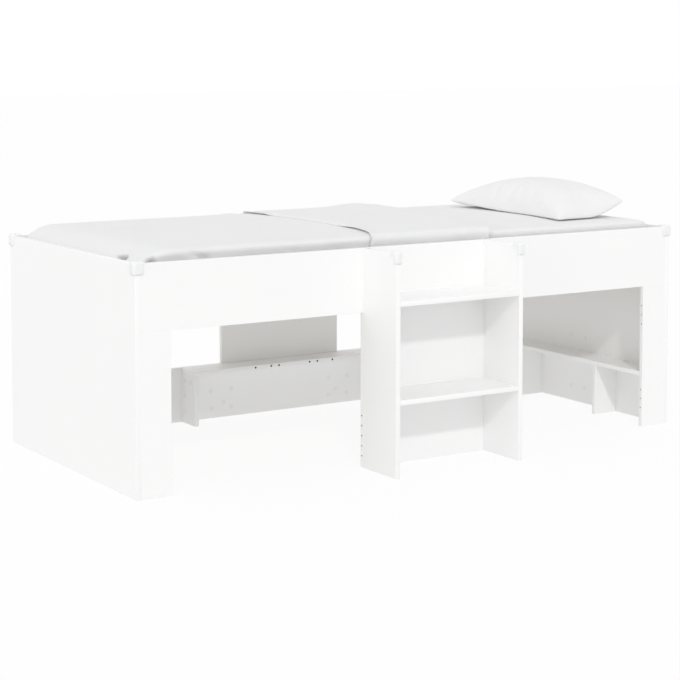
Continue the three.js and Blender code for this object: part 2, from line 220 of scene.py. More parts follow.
def clothFinish(name, colour, shade, threads, bump, sheen):  # threads per metre, on the piece's own flat coordinates
    facts = clothFacts
    material, shader, place = newMaterial(name, {"Roughness": facts["roughness"], "Sheen Weight": sheen,
                                                 "Sheen Roughness": facts["sheen roughness"]}, "UV")
    axes = place.node("SeparateXYZ", None, {"Vector": place})
    across = Signal(place.tree, axes.socket.node.outputs[1])
    turn = threads * math.pi
    weave = axes.maths("SINE", axes * turn) * axes.maths("SINE", across * turn)
    slubs, cloud = place.noisy(facts["slub size"], 3.0), place.noisy(facts["cloud size"])
    ofSlubs, ofCloud, ofWeave = facts["tone shares"]
    tone = slubs * ofSlubs + cloud * ofCloud + weave * ofWeave
    feed(shader, "Base Color", tone.mixed(tint(colour, shade), tint(colour, 2 - shade)))
    feed(shader, "Roughness", facts["smoothest"] + facts["uneven gloss"] * slubs)
    height = weave * facts["height shares"][0] + slubs * facts["height shares"][1]
    feedBump(shader, bump, facts["bump depth"], height)
    return material


sheetCloth = clothFinish("greySheetCotton", clothFacts["grey"], shade=0.985, threads=1100, bump=0.35, sheen=0.5)
quiltCloth = clothFinish("greyQuiltCotton", clothFacts["grey"], shade=0.98, threads=900, bump=0.45, sheen=0.5)
pillowCloth = clothFinish("whitePillowCotton", clothFacts["white"], shade=0.985, threads=1100, bump=0.35, sheen=0.15)
ticking = clothFinish("mattressTicking", clothFacts["ticking"], shade=0.96, threads=500, bump=0.6, sheen=0.1)
print("materials ready:", len(bpy.data.materials))


# Helpers for the shapes
def camel(name):
    words = name.split("_")
    return words[0] + "".join(word.capitalize() for word in words[1:])


def selectNothing():
    if bpy.context.object and bpy.context.object.mode != "OBJECT":
        bpy.ops.object.mode_set(mode="OBJECT")
    bpy.ops.object.select_all(action="DESELECT")


def makeActive(piece):
    selectNothing()
    piece.select_set(True)
    bpy.context.view_layer.objects.active = piece


def applyPlace(piece):
    makeActive(piece)
    bpy.ops.object.transform_apply(location=True, rotation=True, scale=True)


def addBlock(name, low, high):
    selectNothing()
    low, high = Vector(low), Vector(high)
    bpy.ops.mesh.primitive_cube_add(size=1, location=(low + high) / 2)
    piece = bpy.context.object
    piece.name = name
    piece.scale = high - low
    applyPlace(piece)
    return piece


def editSelect(piece, mode, wanted):  # selects the faces or edges that pass the test
    makeActive(piece)
    bpy.ops.object.mode_set(mode="EDIT")
    bpy.ops.mesh.select_mode(type=mode)
    bpy.ops.mesh.select_all(action="DESELECT")
    shape = bmesh.from_edit_mesh(piece.data)
    for part in shape.faces if mode == "FACE" else shape.edges:
        if wanted(part):
            part.select_set(True)
    shape.select_flush_mode()
    bmesh.update_edit_mesh(piece.data)


def leaveEdit():
    bpy.ops.object.mode_set(mode="OBJECT")


def applyModifier(piece, modifier):
    makeActive(piece)
    bpy.ops.object.modifier_apply(modifier=modifier.name)


def addRod(name, radius, depth, place, axis, sides=20):
    selectNothing()
    bpy.ops.mesh.primitive_cylinder_add(vertices=sides, radius=radius, depth=depth, location=place)
    rod = bpy.context.object
    rod.name = name
    rod.rotation_euler = Vector((0, 0, 1)).rotation_difference(Vector(axis)).to_euler()
    applyPlace(rod)
    return rod


def cutAway(piece, cutter):
    cut = piece.modifiers.new("cut", "BOOLEAN")
    cut.object = cutter
    cut.solver = "EXACT"
    cut.material_mode = "TRANSFER"
    applyModifier(piece, cut)
    bpy.data.objects.remove(cutter)


def joinPieces(parts, name):
    makeActive(parts[0])
    for part in parts:
        part.select_set(True)
    bpy.ops.object.join()
    joined = bpy.context.object
    joined.name = name
    return joined


def roundEdges(piece, radius, steps):
    editSelect(piece, "EDGE", lambda edge: True)
    bpy.ops.mesh.bevel(offset=radius, segments=steps, affect="EDGES")
    leaveEdit()


def shadeByAngle(piece, degrees):
    makeActive(piece)
    bpy.ops.object.shade_smooth_by_angle(angle=math.radians(degrees))


straight = 0.99  # a face whose normal's share along an axis is above this lies square to that axis


def facesUp(part):
    return part.normal.z > straight


# Boards: a block at the node's place, with rounded edges, an edge band and fitting holes
boardShape = {
    "rounding": 0.0004, "steps": 2, "band": 0.001, "half thickness": 0.0075, "smooth angle": 40,
    "hole radius": 0.0025, "shelf hole radius": 0.0036, "hole depth": 0.009, "hole sides": 14,
    "hole pitch": 0.032, "lowest step hole": 0.0365,
}


def makeBoard(node, face=boardFace, band=boardBand, rounding=boardShape["rounding"], holes=None):
    low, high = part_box(node)
    piece = addBlock(camel(node), low, high)
    piece.data.materials.append(face)
    piece.data.materials.append(band)
    sizes = list(high - low)
    thin = sizes.index(min(sizes))
    roundEdges(piece, rounding, boardShape["steps"])
    editSelect(piece, "FACE", lambda part: abs(part.normal[thin]) > straight)
    bpy.ops.mesh.inset(thickness=boardShape["band"], use_boundary=True)
    leaveEdit()
    margin = 1.5 * rounding  # past the rounded edge, and well inside the band
    for part in piece.data.polygons:
        inside = all(low[axis] + margin < piece.data.vertices[i].co[axis] < high[axis] - margin
                     for i in part.vertices for axis in range(3) if axis != thin)
        part.material_index = 0 if inside and abs(part.normal[thin]) > straight else 1
    if holes:
        rods = [addRod("holeCutter", holes["radius"], 2 * boardShape["hole depth"], place, holes["axis"],
                       boardShape["hole sides"]) for place in holes["places"]]
        cutter = joinPieces(rods, "holeCutters")
        cutter.data.materials.append(holes["lining"])
        cutAway(piece, cutter)
    shadeByAngle(piece, boardShape["smooth angle"])
    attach(piece, "bed_frame")
    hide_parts(node)
    return piece


holeRows = {  # heights in the upright boards, and places along the rear shelf
    "leg": [0.0655, 0.0975, 0.1295, 0.359, 0.391, 0.423],
    "steps": [boardShape["lowest step hole"] + boardShape["hole pitch"] * i for i in range(5)],
    "rear shelf": [boardShape["hole pitch"] * i for i in (-5, -3, -2, 2, 3, 5)],
}
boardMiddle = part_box("front_leg_left")[0].y + boardShape["half thickness"]
drilled = {}
for side in ("left", "right"):
    legEdge = min((corner.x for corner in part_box(f"front_leg_{side}")), key=abs)
    stepsEdge = max((corner.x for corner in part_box(f"step_unit_side_{side}")), key=abs)
    for node, edge, row, lining in ((f"front_leg_{side}", legEdge, "leg", holeLining),
                                    (f"step_unit_side_{side}", stepsEdge, "steps", chipboard)):
        drilled[node] = {"places": [(edge, boardMiddle, z) for z in holeRows[row]], "axis": (1, 0, 0),
                         "radius": boardShape["hole radius"], "lining": lining}
shelfLow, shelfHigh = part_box("rear_shelf")
drilled["rear_shelf"] = {"places": [(x, shelfLow.y, (shelfLow.z + shelfHigh.z) / 2) for x in holeRows["rear shelf"]],
                         "axis": (0, 1, 0), "radius": boardShape["shelf hole radius"], "lining": chipboard}

boards = [s["node"] for s in frame["record"]["subparts"] if s["material_slot"] == "white_board"]
for node in boards:
    makeBoard(node, holes=drilled.get(node))
print("boards made:", len(boards))

# Slats, the cleats that carry them, and their screws
slatFacts = {
    "rounding": 0.002, "screw radius": 0.0042, "screw depth": 0.0016, "screw rim": 0.0006, "screw sides": 24,
    "cross arm": (0.0024, 0.00045), "cross depth": 0.0009, "cross overrun": 0.001, "smooth angle": 35,
    "proud": 0.0002, "screw from end": 0.014, "turn per metre": 37, "screws per cleat": 7, "cleat screw from end": 0.12,
}
woods = [s["node"] for s in frame["record"]["subparts"] if s["material_slot"] == "slat_wood"]
for node in woods:
    wood = cleatWood if "cleat" in node else slatWood
    makeBoard(node, wood, wood, slatFacts["rounding"])


def makeScrew(name):  # a countersunk head with a cross recess, looking up from the origin
    facts = slatFacts
    depth = facts["screw depth"]
    head = addRod(name, facts["screw radius"], depth, (0, 0, -depth / 2), (0, 0, 1), facts["screw sides"])
    editSelect(head, "FACE", facesUp)
    bpy.ops.mesh.inset(thickness=facts["screw rim"])
    leaveEdit()
    longer, shorter = facts["cross arm"]
    arms = [addBlock("crossArm", (-a, -b, -facts["cross depth"]), (a, b, facts["cross overrun"]))
            for a, b in ((longer, shorter), (shorter, longer))]
    for arm in arms:
        cutAway(head, arm)
    head.data.materials.append(zinc)
    shadeByAngle(head, facts["smooth angle"])
    return head


def copyTo(original, place, turn=(0, 0, 0)):  # a copy with its own mesh, at its place in the mesh
    twin = original.copy()
    twin.data = original.data.copy()
    scene.collection.objects.link(twin)
    twin.location = place
    twin.rotation_euler = turn
    applyPlace(twin)
    return twin


screw = makeScrew("slatScrew")
screws = []
for node in woods:
    low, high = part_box(node)
    if "cleat" not in node:
        for y in (low.y + slatFacts["screw from end"], high.y - slatFacts["screw from end"]):
            place = ((low.x + high.x) / 2, y, high.z + slatFacts["proud"])
            screws.append(copyTo(screw, place, (0, 0, y * slatFacts["turn per metre"])))
for node, inner, outward in (("slat_cleat_front", 1, 1), ("slat_cleat_rear", 0, -1)):
    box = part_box(node)
    y = box[inner].y + outward * slatFacts["proud"]
    start, count = slatFacts["cleat screw from end"], slatFacts["screws per cleat"]
    for i in range(count):
        x = box[0].x + start + i * (box[1].x - box[0].x - 2 * start) / (count - 1)
        screws.append(copyTo(screw, (x, y, (box[0].z + box[1].z) / 2), (-outward * math.pi / 2, 0, 0)))
bpy.data.objects.remove(screw)
slatScrews = joinPieces(screws, "slatScrews")
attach(slatScrews, "bed_frame")
print("slats and screws made:", len(screws))

# Cover caps over the fittings, on inner faces
capFacts = {
    "radius": 0.0085, "rise": 0.0004, "soft edge": 0.0003, "sides": 28, "smooth angle": 40,
    # y and z on the rear dividers and on the end panels, then x and z on the rear lower panel
    "on dividers": ((0.524, 0.150), (0.477, 0.150), (0.521, 0.0985), (0.5165, 0.0415)),
    "on ends": ((0.1275, 0.248), (0.0455, 0.244), (0.1275, 0.055), (0.0485, 0.0565)),
    "at rear": ((0.2045, 0.098), (0.2045, 0.0335), (0.2350, 0.0527), (0.2870, 0.098), (0.2840, 0.0340)),
}


def makeCap(name):  # a low round cap with a slightly raised middle, looking up from the origin
    facts = capFacts
    cap = addRod(name, facts["radius"], 2 * facts["rise"], (0, 0, 0), (0, 0, 1), facts["sides"])
    editSelect(cap, "FACE", facesUp)
    bpy.ops.mesh.bevel(offset=facts["soft edge"], segments=2, affect="EDGES")
    leaveEdit()
    editSelect(cap, "FACE", facesUp)
    bpy.ops.mesh.inset(thickness=facts["radius"] / 2)
    bpy.ops.transform.translate(value=(0, 0, facts["rise"] / 4))
    leaveEdit()
    cap.data.materials.append(capPlastic)
    shadeByAngle(cap, facts["smooth angle"])
    return cap


cap = makeCap("coverCap")
caps = []
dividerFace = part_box("rear_shelf_divider_right")[1].x
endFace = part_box("right_end_panel")[0].x
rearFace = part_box("rear_lower_panel")[0].y
for sign in (-1, 1):
    for y, z in capFacts["on dividers"]:
        caps.append(copyTo(cap, (sign * dividerFace, y, z), (0, sign * math.pi / 2, 0)))
    for y, z in capFacts["on ends"]:
        caps.append(copyTo(cap, (sign * endFace, y, z), (0, -sign * math.pi / 2, 0)))
    for x, z in capFacts["at rear"]:
        caps.append(copyTo(cap, (sign * x, rearFace, z), (math.pi / 2, 0, 0)))
bpy.data.objects.remove(cap)
coverCaps = joinPieces(caps, "coverCaps")
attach(coverCaps, "bed_frame")
print("caps made:", len(caps))

# Corner guards of clear plastic
guardFacts = {"rounding": 0.0075, "steps": 5, "fit": 0.0003, "wall": 0.013, "notch rounding": 0.004, "notch steps": 4,
              "overrun": 0.01, "smooth angle": 35}


def makeGuard(node):
    facts = guardFacts
    low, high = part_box(node)
    piece = addBlock(camel(node), low, high)
    roundEdges(piece, facts["rounding"], facts["steps"])
    left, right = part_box("left_end_panel"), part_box("right_end_panel")
    fit, wall, over = facts["fit"], facts["wall"], facts["overrun"]
    top = left[1].z
    if "steps" in node:
        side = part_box("step_unit_side_" + node.split("_")[-1])
        room = addBlock("boardRoom", (side[0].x - fit, side[0].y - fit, 0), (side[1].x + fit, 0, top + fit))
        notch = addBlock("notch", (low.x - over, low.y + wall, 0), (high.x + over, 0, high.z - wall))
        roundEdges(notch, facts["notch rounding"], facts["notch steps"])
        cutAway(piece, notch)
    else:
        room = addBlock("boxRoom", (left[0].x - fit, left[0].y - fit, 0),
                        (right[1].x + fit, right[1].y + fit, top + fit))
    cutAway(piece, room)
    piece.data.materials.clear()
    piece.data.materials.append(guardPlastic)
    shadeByAngle(piece, facts["smooth angle"])
    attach(piece, "bed_frame")
    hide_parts(node)
    return piece


guards = [makeGuard(node) for node in frame["nodes"] if node.startswith("corner_guard")]
print("guards made:", len(guards))


# Helpers for the bedding
def easeBetween(start, end, value):
    share = np.clip((np.asarray(value, float) - start) / (end - start), 0, 1)
    return share * share * (3 - 2 * share)


def hump(value, middle, spread):
    return np.exp(-((np.asarray(value, float) - middle) / spread) ** 2)


def ripple(points, scale, seed, detail=3):  # smooth noise from -1 to 1 at each point
    return np.array([noise.fractal(Vector((p[0] * scale + seed, p[1] * scale, (p[2] if len(p) > 2 else 0) * scale)),
                                   0.7, 2.0, detail) for p in points])


def gridMesh(name, points, flat, rows, columns):  # a sheet of quads with its flat coordinates as UV map
    faces = [(i * columns + j, (i + 1) * columns + j, (i + 1) * columns + j + 1, i * columns + j + 1)
             for i in range(rows - 1) for j in range(columns - 1)]
    mesh = bpy.data.meshes.new(name)
    mesh.from_pydata([tuple(p) for p in points], [], faces)
    layer = mesh.uv_layers.new(name="flat")
    index = np.zeros(len(mesh.loops), int)
    mesh.loops.foreach_get("vertex_index", index)
    layer.data.foreach_set("uv", np.asarray(flat, float)[index].ravel())
    piece = bpy.data.objects.new(name, mesh)
    scene.collection.objects.link(piece)
    return piece


def addGrid(shape, nx, ny, placeAt, flipped):  # a layer of quads, placed by shares from -1 to 1
    rows = [[shape.verts.new(placeAt(2 * i / nx - 1, 2 * j / ny - 1)) for j in range(ny + 1)] for i in range(nx + 1)]
    for i in range(nx):
        for j in range(ny):
            corners = [rows[i][j], rows[i + 1][j], rows[i + 1][j + 1], rows[i][j + 1]]
            shape.faces.new(corners[::-1] if flipped else corners)


def smoothShade(piece):
    makeActive(piece)
    bpy.ops.object.shade_smooth()


mattressLow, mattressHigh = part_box("mattress")
bedMiddle = (mattressLow + mattressHigh) / 2
mattressFacts = {
    "cell": 0.0115, "corner": 0.062, "rear corner": 0.026, "top rounding": 0.005, "base rounding": 0.012,
    "crown": 0.005, "crown reach": (0.02, 0.4), "base inset": 0.11,
    "foot slope": 0.12, "foot drop": 0.056, "foot power": 2.4, "head slope": 0.07, "head drop": 0.03,
    # the hollows at the front corner of the foot end: the middle from the bed's middle, the reach, the way in,
    # how far below the lip it starts, and how steeply the lip rises towards the front
    "hollows": [((-0.985, -0.277), (0.03, 0.027), (0.75, 0.15), 0.006, 0.15),
                ((-0.96, -0.44), (0.013, 0.05), (0.2, 0.4), 0.003, 0.0)],
    "hollow depth": 0.05, "hollow edge": 0.007, "hollow base": 0.04, "hollow top": 0.03, "lip": 0.01,
    "front recess": 0.0095, "recess reach": (0.06, 0.02), "recess top": (0.733, 0.7), "recess base": (0.6, 0.66),
    "groove place": 0.275, "groove width": 0.011, "groove depth": 0.014, "groove reach": 0.03,
    "groove heights": (0.004, -0.012),
    "gathers": 26, "gather depth": 0.0012, "gather reach": 0.1, "gather heights": (1.0, -0.6), "slack": 0.0006,
    "unevenness": (0.00072, 5.0, 3.1),  # of the top: height, size and seed
}
mattressTop = mattressHigh.z - mattressFacts["crown"]


def endDrop(x, z):  # how far the soft edges of both ends have sunk, for x from the middle and z in the scene
    facts, x = mattressFacts, np.asarray(x)
    foot = np.clip((facts["foot slope"] - (x + mattressHigh.x)) / facts["foot slope"], 0, 1)
    head = np.clip((facts["head slope"] - (mattressHigh.x - x)) / facts["head slope"], 0, 1)
    height = np.clip((np.asarray(z) - mattressLow.z) / (mattressTop - mattressLow.z), 0, 1)
    return (facts["foot drop"] * foot ** facts["foot power"] + facts["head drop"] * head ** 2) * height


def sheetHeight(points):  # the height of the sheet's top under each point
    half = (mattressHigh - mattressLow) / 2
    inside = np.minimum(half.x - np.abs(points[:, 0] - bedMiddle.x), half.y - np.abs(points[:, 1] - bedMiddle.y))
    return mattressTop + mattressFacts["crown"] * easeBetween(*mattressFacts["crown reach"], inside)


def pressHollows(points, lip):  # draws the cloth in below its lip: beside the front corner, and all along the front
    facts = mattressFacts
    x, y, z = points[:, 0] - bedMiddle.x, points[:, 1] - bedMiddle.y, points[:, 2]
    fading = easeBetween(mattressLow.z + facts["hollow base"], mattressTop - facts["hollow top"], z)
    moved = points.copy()
    for middle, reach, way, deeper, rising in facts["hollows"]:
        below = z - lip + deeper - rising * (middle[1] - y)
        near = hump(x, middle[0], reach[0]) * hump(y, middle[1], reach[1])
        pull = facts["hollow depth"] * near * easeBetween(0, -facts["hollow edge"], below) * fading
        moved[:, :2] += pull[:, None] * np.array(way)
    atFront = easeBetween(*facts["recess reach"], y + (mattressHigh.y - mattressLow.y) / 2)
    belowEdge = easeBetween(*facts["recess top"], z) * easeBetween(*facts["recess base"], z)
    moved[:, 1] += facts["front recess"] * atFront * belowEdge
    points[:] = moved


# Mattress: the surface of a box as a fine grid, drawn onto a rounded form
def boxGrid(half, cell):
    counts = [max(4, round(2 * h / cell)) for h in half]
    shape = bmesh.new()
    for axis in range(3):
        first, second = [other for other in range(3) if other != axis]
        for sign in (-1, 1):
            def onSide(u, v):
                p = [0, 0, 0]
                p[axis], p[first], p[second] = sign, u, v
                return [p[k] * half[k] for k in range(3)]
            addGrid(shape, counts[first], counts[second], onSide, (sign > 0) != (axis != 1))
    bmesh.ops.remove_doubles(shape, verts=shape.verts, dist=1e-5)
    bmesh.ops.recalc_face_normals(shape, faces=shape.faces)
    return shape


def makeMattress():
    facts = mattressFacts
    half = (mattressHigh - mattressLow) / 2
    half.z = (mattressTop - mattressLow.z) / 2
    middle = Vector((bedMiddle.x, bedMiddle.y, mattressLow.z + half.z))
    shape = boxGrid(half, facts["cell"])
    for vertex in shape.verts:
        p = vertex.co.copy()
        corner = facts["rear corner" if p.y > 0 else "corner"]
        radii = Vector((corner, corner, facts["top rounding" if p.z > 0 else "base rounding"]))
        core = Vector(max(-half[k] + radii[k], min(half[k] - radii[k], p[k])) for k in range(3))
        away = Vector((p[k] - core[k]) / radii[k] for k in range(3))
        if away.length > 1e-9:
            cube = max(abs(a) for a in away)
            away = away.normalized() * cube
        q = core + Vector(away[k] * radii[k] for k in range(3))
        inside = min(half.x - abs(q.x), half.y - abs(q.y))
        if p.z > 0:
            q.z += facts["crown"] * float(easeBetween(*facts["crown reach"], inside)) * (q.z / half.z)
        vertex.co = q + middle
    mesh = bpy.data.meshes.new("mattressBody")
    shape.to_mesh(mesh)
    shape.free()
    co = np.zeros(len(mesh.vertices) * 3)
    mesh.vertices.foreach_get("co", co)
    co = co.reshape(-1, 3)
    normals = np.array([v.normal for v in mesh.vertices])
    rel = co - np.array(middle)
    fromEnd, fromSide = half.x - np.abs(rel[:, 0]), half.y - np.abs(rel[:, 1])
    cornerness = easeBetween(facts["gather reach"], 0.0, fromEnd) * easeBetween(facts["gather reach"], 0.0, fromSide)
    turn = np.arctan2(np.abs(rel[:, 1]) - half.y + facts["corner"], np.abs(rel[:, 0]) - half.x + facts["corner"])
    gathers = np.sin(turn * facts["gathers"]) * cornerness * easeBetween(*facts["gather heights"], rel[:, 2] / half.z)
    depth, size, seed = facts["unevenness"]
    uneven = depth * ripple(co, size, seed) * (normals[:, 2] > 0.5)
    inward = facts["gather depth"] * (gathers - cornerness) + uneven - facts["slack"]
    co += normals * inward[:, None]
    co[:, 2] -= endDrop(rel[:, 0], co[:, 2])
    groove = hump(rel[:, 0], facts["groove place"], facts["groove width"])
    groove = groove * easeBetween(facts["groove reach"], 0.0, rel[:, 1] + half.y)
    above, under = facts["groove heights"]
    co[:, 1] += facts["groove depth"] * groove * easeBetween(mattressTop + above, mattressTop + under, co[:, 2])
    pressHollows(co, mattressHigh.z + facts["lip"])
    mesh.vertices.foreach_set("co", co.ravel())
    layer = mesh.uv_layers.new(name="flat")
    for part in mesh.polygons:
        axis = max(range(3), key=lambda k: abs(part.normal[k]))
        first, second = [other for other in range(3) if other != axis]
        for loop in part.loop_indices:
            p = co[mesh.loops[loop].vertex_index]
            layer.data[loop].uv = (p[first], p[second])
        isBase = part.normal.z < -0.7 and all(
            abs(part.center[k] - middle[k]) < half[k] - facts["base inset"] for k in range(2))
        part.material_index = 1 if isBase else 0
    mesh.update()
    piece = bpy.data.objects.new("mattressInSheet", mesh)
    scene.collection.objects.link(piece)
    mesh.materials.append(sheetCloth)
    mesh.materials.append(ticking)
    smoothShade(piece)
    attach(piece, "loose_mattress")
    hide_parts("mattress")
    return piece


mattress = makeMattress()
print("mattress made:", len(mattress.data.polygons), "faces")

# Quilt: one padded sheet that lies over the mattress from the foot end, with its upper part turned back
quiltFacts = {
    "cell": 0.0085, "thickness": 0.0055, "lower": 0.0056, "upper": 0.0118, "crown reach": (0.0, 0.36),
    "fold front": 0.26, "fold rear": 0.405, "flap front": -0.2, "flap rear": -0.155, "flap middle": -0.14,
    "hem": mattressTop - 0.063, "hem spare": 0.008, "counts": (186, 8, 56), "spacing power": 1.25,
    # the free edge of the turned-back part: thinner, lifted at both ends and pressed down between them
    "edge reach": 0.016, "edge thickness": 0.35, "lifted edge": 0.0045, "pressed edge": 0.0024,
    "rear lift": (0.25, 0.35), "front lift": (-0.14, -0.3),
    # wrinkles: height, size and seed
    "broad": (0.0018, 3.2, 11.0), "fine": (0.0008, 9.0, 5.0), "fine stretch": 2.0,
    # the swelling by the fold and a small one behind it at the rear: height, place, width and where they set in
    "fold swelling": (0.0088, 0.29, 0.075), "fold swelling from": (0.1, 0.4), "fold swelling end": (0.41, 0.34),
    "rear swelling": (0.0028, -0.225, 0.022), "rear swelling from": (0.38, 0.43),
    # the sides: gathers, a recess along the front, a crease and a dent in the front, and a step where the flap ends
    "gather": (0.0022, 4.0, 21.0), "gather stretch": (3.0, 2.0), "side heights": (0.004, -0.026), "side recess": 0.003,
    "crease": (0.006, (-0.85, 0.722), (-0.775, 0.688), 0.007),
    "dent": (0.007, -0.785, 0.012), "dent heights": (0.706, 0.694), "side from": -0.02,
    "flap step": 0.004, "flap step at": (0.225, 0.252),
    "corner crease": (0.0045, (-0.985, -0.268), (-0.93, -0.285), 0.007), "lip": -0.02,
}


def onMattress(flat, lift):  # flat points from the middle, and their lift, laid over the rounded top and sides
    half = np.array([(mattressHigh.x - mattressLow.x) / 2, (mattressHigh.y - mattressLow.y) / 2])
    radius = mattressFacts["top rounding"]
    cornerRadius = np.where(flat[:, 1] > 0, mattressFacts["rear corner"], mattressFacts["corner"]) - radius
    core = half - radius - cornerRadius[:, None]
    q = np.abs(flat) - core
    outer = np.maximum(q, 0)
    reach = np.linalg.norm(outer, axis=1)
    distance = reach + np.minimum(np.max(q, axis=1), 0) - cornerRadius
    direction = np.where(reach[:, None] > 1e-9, outer / np.maximum(reach, 1e-9)[:, None], 0) * np.sign(flat)
    over = np.maximum(distance, 0)
    base = flat - direction * over[:, None]
    bend = radius + lift
    angle = np.minimum(over / bend, math.pi / 2)
    drop = np.maximum(over - bend * math.pi / 2, 0)
    crown = mattressFacts["crown"] * easeBetween(*quiltFacts["crown reach"], -distance)
    out = base + direction * (bend * np.sin(angle))[:, None]
    z = mattressTop - radius + bend * np.cos(angle) - drop + crown
    return np.column_stack([out[:, 0] + bedMiddle.x, out[:, 1] + bedMiddle.y, z]), distance, direction, angle


def nearLine(points, start, end, width):  # 1 on the middle of a line between two places, fading over its width
    points, start, end = (np.asarray(p, float) for p in (points, start, end))
    along = end - start
    share = np.clip((points - start) @ along / (along @ along), 0, 1)
    away = np.linalg.norm(points - start - share[:, None] * along, axis=1)
    weakest, margin = 0.35, 0.08  # of the strength, and of the length at both ends
    strength = weakest + (1 - weakest) * np.sin(math.pi * np.clip(share, margin, 1 - margin))
    return np.exp(-(away / width) ** 2) * strength


def quiltLayout():  # rows of flat places and lifts from the foot end over the fold to the free edge
    facts = quiltFacts
    half = (mattressHigh - mattressLow) / 2
    rounding = mattressFacts["top rounding"]
    sideLength = mattressTop - rounding - facts["hem"] + rounding * math.pi / 2 + facts["hem spare"]
    halfWidth = half.y - rounding + sideLength
    footEnd = -(half.x - rounding + sideLength)
    rows = round(2 * halfWidth / facts["cell"]) + 1
    across = np.linspace(-halfWidth, halfWidth, rows)
    share = (np.clip(across, -half.y, half.y) + half.y) / (2 * half.y)
    fold = facts["fold front"] + (facts["fold rear"] - facts["fold front"]) * share
    ends = np.where(share < 0.5, facts["flap front"], facts["flap rear"])
    flap = facts["flap middle"] + (ends - facts["flap middle"]) * np.abs(2 * share - 1) ** 4
    lowerCount, turnCount, upperCount = facts["counts"]
    radius = (facts["upper"] - facts["lower"]) / 2
    flat, lift, along, edge = [], [], [], []
    for i in range(rows):
        lower = np.linspace(footEnd, fold[i] - radius, lowerCount)
        turnAngles = np.linspace(0, math.pi, turnCount + 2)[1:-1]
        upper = flap[i] + (fold[i] - radius - flap[i]) * np.linspace(1, 0, upperCount) ** facts["spacing power"]
        xs = np.concatenate([lower, fold[i] - radius + radius * np.sin(turnAngles), upper])
        hs = np.concatenate([np.full(lowerCount, facts["lower"]),
                             facts["lower"] + radius * (1 - np.cos(turnAngles)), np.full(upperCount, facts["upper"])])
        run = np.concatenate([[0], np.cumsum(np.hypot(np.diff(xs), np.diff(hs)))])
        flat.append(np.column_stack([xs, np.full(len(xs), across[i])]))
        lift.append(hs)
        along.append(np.column_stack([run, np.full(len(xs), across[i])]))
        edge.append(np.concatenate([np.full(lowerCount + turnCount, 1.0),
                                    easeBetween(0.0, facts["edge reach"], upper - flap[i])]))
    columns = lowerCount + turnCount + upperCount
    return rows, columns, halfWidth, [np.concatenate(part) for part in (flat, lift, along, edge)]


def makeQuilt():
    facts = quiltFacts
    rows, columns, halfWidth, (flat, lift, along, edge) = quiltLayout()
    isUpper = easeBetween(facts["lower"], facts["upper"], lift)
    atEnds = np.maximum(easeBetween(*facts["rear lift"], flat[:, 1]), easeBetween(*facts["front lift"], flat[:, 1]))
    lift = lift + isUpper * facts["lifted edge"] * (1 - edge) * atEnds
    lift -= isUpper * facts["pressed edge"] * (1 - edge) * (1 - atEnds)
    points, distance, direction, angle = onMattress(flat, lift)
    x, y = flat[:, 0], flat[:, 1]
    # wrinkles stand proud of the layer beneath, so both layers share the broad ones
    rise = np.zeros(len(x))
    for (height, size, seed), stretch in ((facts["broad"], 1.0), (facts["fine"], facts["fine stretch"])):
        rise += height * (ripple(np.column_stack([x, y * stretch]), size, seed) * 0.5 + 0.5)
    height, place, width = facts["fold swelling"]
    ending = easeBetween(*facts["fold swelling from"], y) * easeBetween(*facts["fold swelling end"], x)
    rise += height * hump(x, place, width) * ending * isUpper
    height, place, width = facts["rear swelling"]
    rise += height * hump(x, place, width) * easeBetween(*facts["rear swelling from"], y) * (1 - isUpper)
    normal = np.column_stack([direction[:, 0] * np.sin(angle), direction[:, 1] * np.sin(angle), np.cos(angle)])
    points += normal * rise[:, None]
    points[:, 2] -= endDrop(x, points[:, 2])
    # the sides hang in gathers, with a crease and a dent in the front
    outward = np.column_stack([direction, np.zeros(len(x))])
    z = points[:, 2].copy()
    above, under = facts["side heights"]
    low = easeBetween(mattressTop + above, mattressTop + under, z)
    depth, size, seed = facts["gather"]
    alongScale, heightScale = facts["gather stretch"]
    shift = depth * ripple(np.column_stack([along[:, 0] * alongScale, z * heightScale]), size, seed) * low
    shift -= facts["side recess"] * low * easeBetween(0, -1, direction[:, 1])
    px = points[:, 0] - bedMiddle.x
    frontSide = (direction[:, 1] < -0.5) & (distance > facts["side from"])
    depth, start, end, width = facts["crease"]
    shift -= depth * nearLine(np.column_stack([px, z]), start, end, width) * frontSide
    depth, place, width = facts["dent"]
    shift -= depth * hump(px, place, width) * easeBetween(*facts["dent heights"], z) * frontSide
    shift += facts["flap step"] * easeBetween(*facts["flap step at"], px) * frontSide
    points += outward * shift[:, None]
    pressHollows(points, mattressHigh.z + facts["lip"])
    depth, start, end, width = facts["corner crease"]
    fromMiddle = points[:, :2] - np.array(bedMiddle[:2])
    points[:, 2] -= depth * nearLine(fromMiddle, start, end, width) * (1 - isUpper)
    piece = gridMesh("quiltSheet", points, along, rows, columns)
    piece.data.materials.append(quiltCloth)
    thinner = piece.vertex_groups.new(name="fullness")
    thinEdge = facts["edge thickness"] + (1 - facts["edge thickness"]) * edge
    for index, value in enumerate(np.where(isUpper > 0.5, thinEdge, 1.0)):
        thinner.add([index], float(value), "REPLACE")
    shell = piece.modifiers.new("padding", "SOLIDIFY")
    shell.thickness = facts["thickness"]
    shell.offset = 0
    shell.use_even_offset = True
    shell.vertex_group = thinner.name
    applyModifier(piece, shell)
    piece.vertex_groups.clear()
    smoothShade(piece)
    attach(piece, "loose_quilt")
    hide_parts("quilt")
    2 * halfWidth
    return piece


quilt = makeQuilt()
print("quilt made:", len(quilt.data.polygons), "faces")

